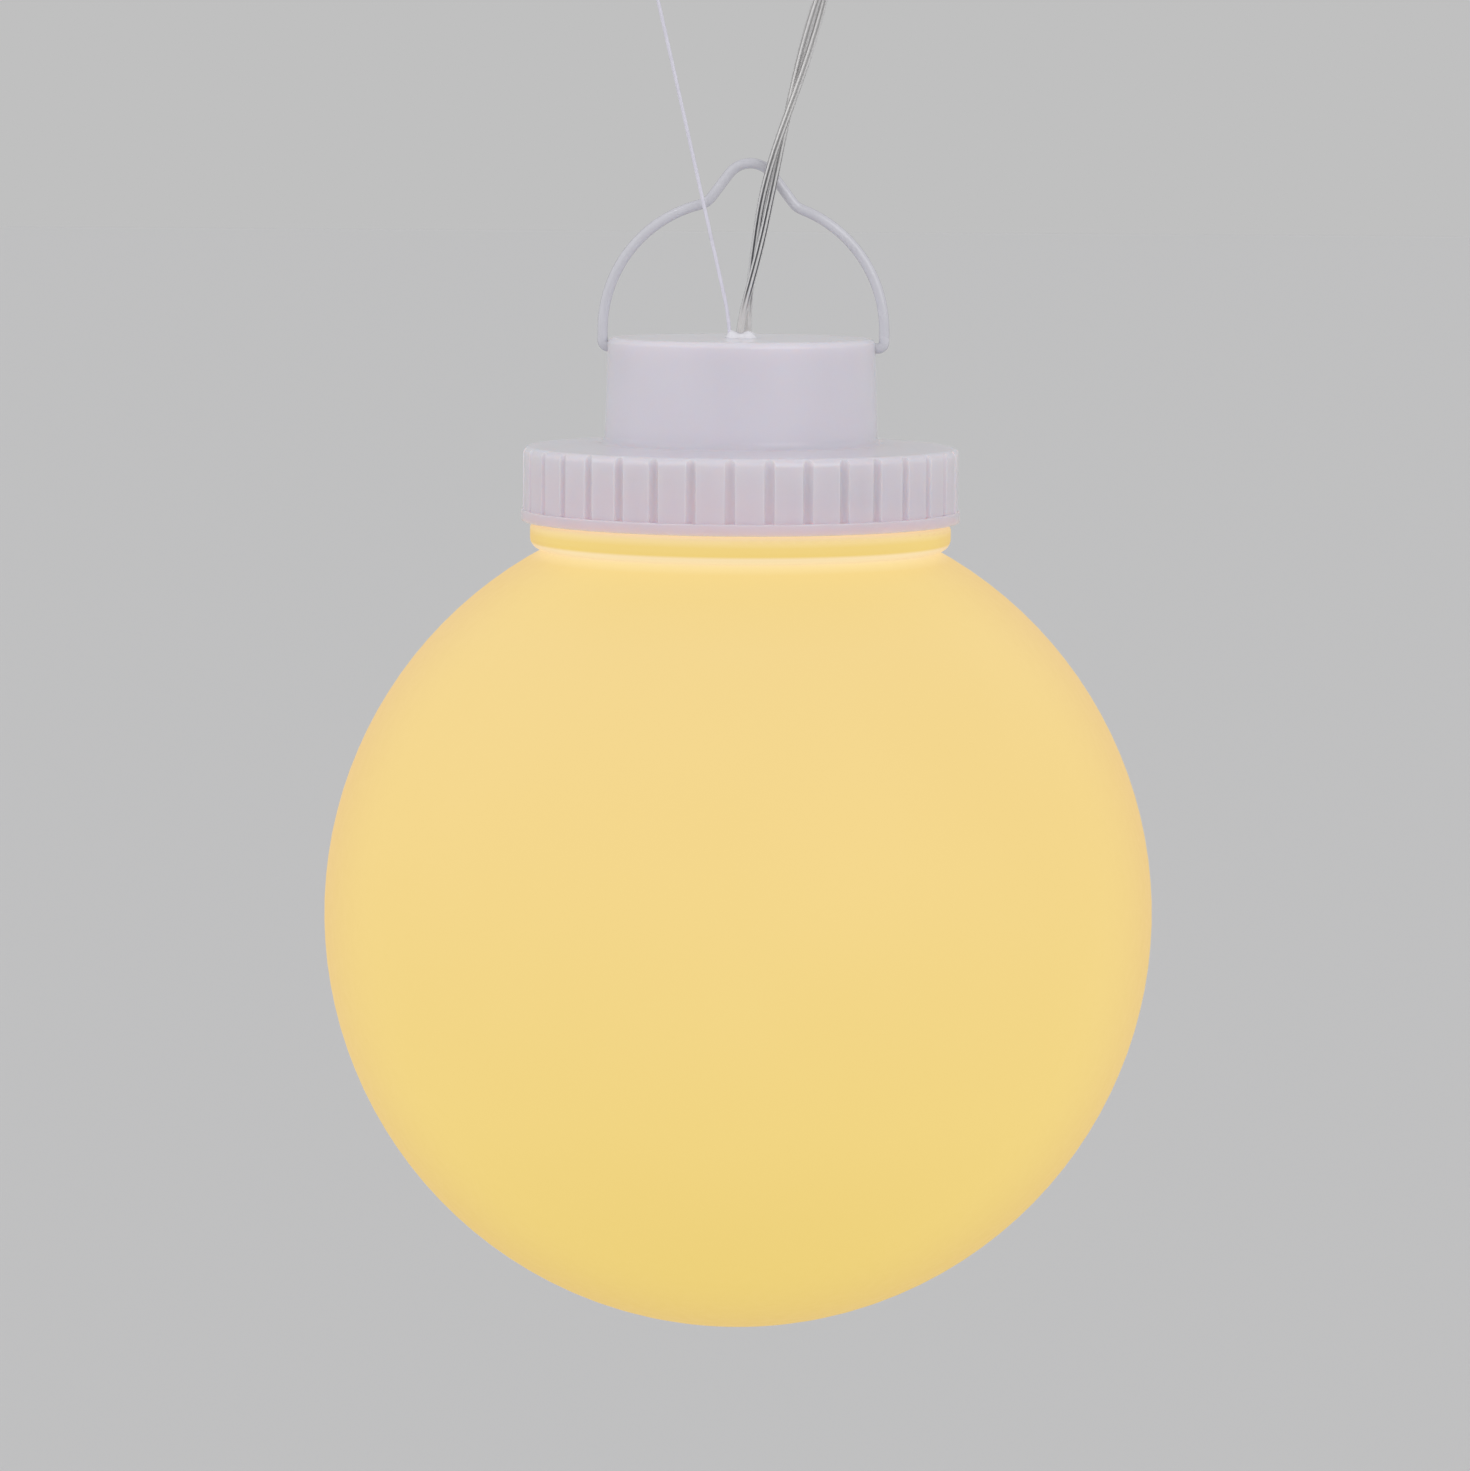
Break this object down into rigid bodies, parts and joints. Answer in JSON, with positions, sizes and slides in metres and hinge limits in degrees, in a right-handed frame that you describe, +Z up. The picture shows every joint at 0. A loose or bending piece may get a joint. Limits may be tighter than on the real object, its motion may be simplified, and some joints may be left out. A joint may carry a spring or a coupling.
{
  "type": "garden globe light",
  "caption": "Hanging garden light: an opal globe screwed into a fluted cap with a wire bail, on a clear lead and a thin hanging line.",
  "frame": {"origin": "middle of the cap's top face, where the lead and the hanging line that hold the light come out", "axes": "+Z up, away from the globe and along its axis; X along the bail's pivot line; the lead and the line pass the bail on its -Y side"},
  "size_m": [0.08, 0.08, 0.1578],
  "materials": {
    "cap_plastic": "milky translucent lilac-grey moulding, satin",
    "bail_coating": "formed steel wire with a thin white coating",
    "white_plastic": "plain moulded white, satin",
    "screw_steel": "zinc-plated steel",
    "lamp_resin": "clear cast resin with a warm phosphor",
    "tinned_wire": "tinned wire",
    "resistor_paint": "beige lacquer with plain colour bands",
    "sleeve_plastic": "black shrink sleeve",
    "clear_sheath": "clear sheath over tinned strands",
    "sealant": "milky clear sealant",
    "crimp_metal": "soft aluminium, crimped",
    "line_nylon": "white nylon line",
    "plug_plastic": "black moulded plastic",
    "contact_metal": "nickel-plated",
    "gasket_rubber": "translucent white silicone",
    "opal_globe": "opal, warm yellow when lit, satin"
  },
  "bodies": {
    "cap": {"screw_cap": "cap_plastic", "outlet_seal": "sealant", "lamp_holder": "white_plastic", "holder_screws": "screw_steel", "led_lens": "lamp_resin", "led_pins": "tinned_wire", "series_resistor": "resistor_paint", "joint_sleeves": "sleeve_plastic", "inner_wires": "clear_sheath", "lead_crimp": "crimp_metal", "line_stop": "crimp_metal", "supply_lead": "clear_sheath", "plug_boot": "plug_plastic", "plug_shell": "plug_plastic", "plug_barrel": "contact_metal", "plug_insulator": "plug_plastic", "plug_contact": "contact_metal", "hanging_line": "line_nylon", "line_loop": "line_nylon"},
    "bail": {"bail_wire": "bail_coating"},
    "gasket": {"neck_gasket": "gasket_rubber"},
    "globe": {"globe_shell": "opal_globe"}
  },
  "joints": [
    {"name": "bail_swing", "type": "hinge", "parent": "cap", "child": "bail", "pos_m": [0, 0, -0.0009], "axis": [-1, 0, 0], "range_deg": [0, 106]},
    {"name": "globe_drop", "type": "slide", "parent": "cap", "child": "gasket", "axis": [0, 0, -1], "range_m": [0, 0.00605]},
    {"name": "globe_unscrew", "type": "hinge", "parent": "gasket", "child": "globe", "pos_m": [0, 0, -0.0554], "axis": [0, 0, -1], "range_deg": [0, 540]}
  ],
  "couplings": [
    {"joint": "globe_drop", "follows": "globe_unscrew", "m_per_rad": 0.00063662}
  ]
}
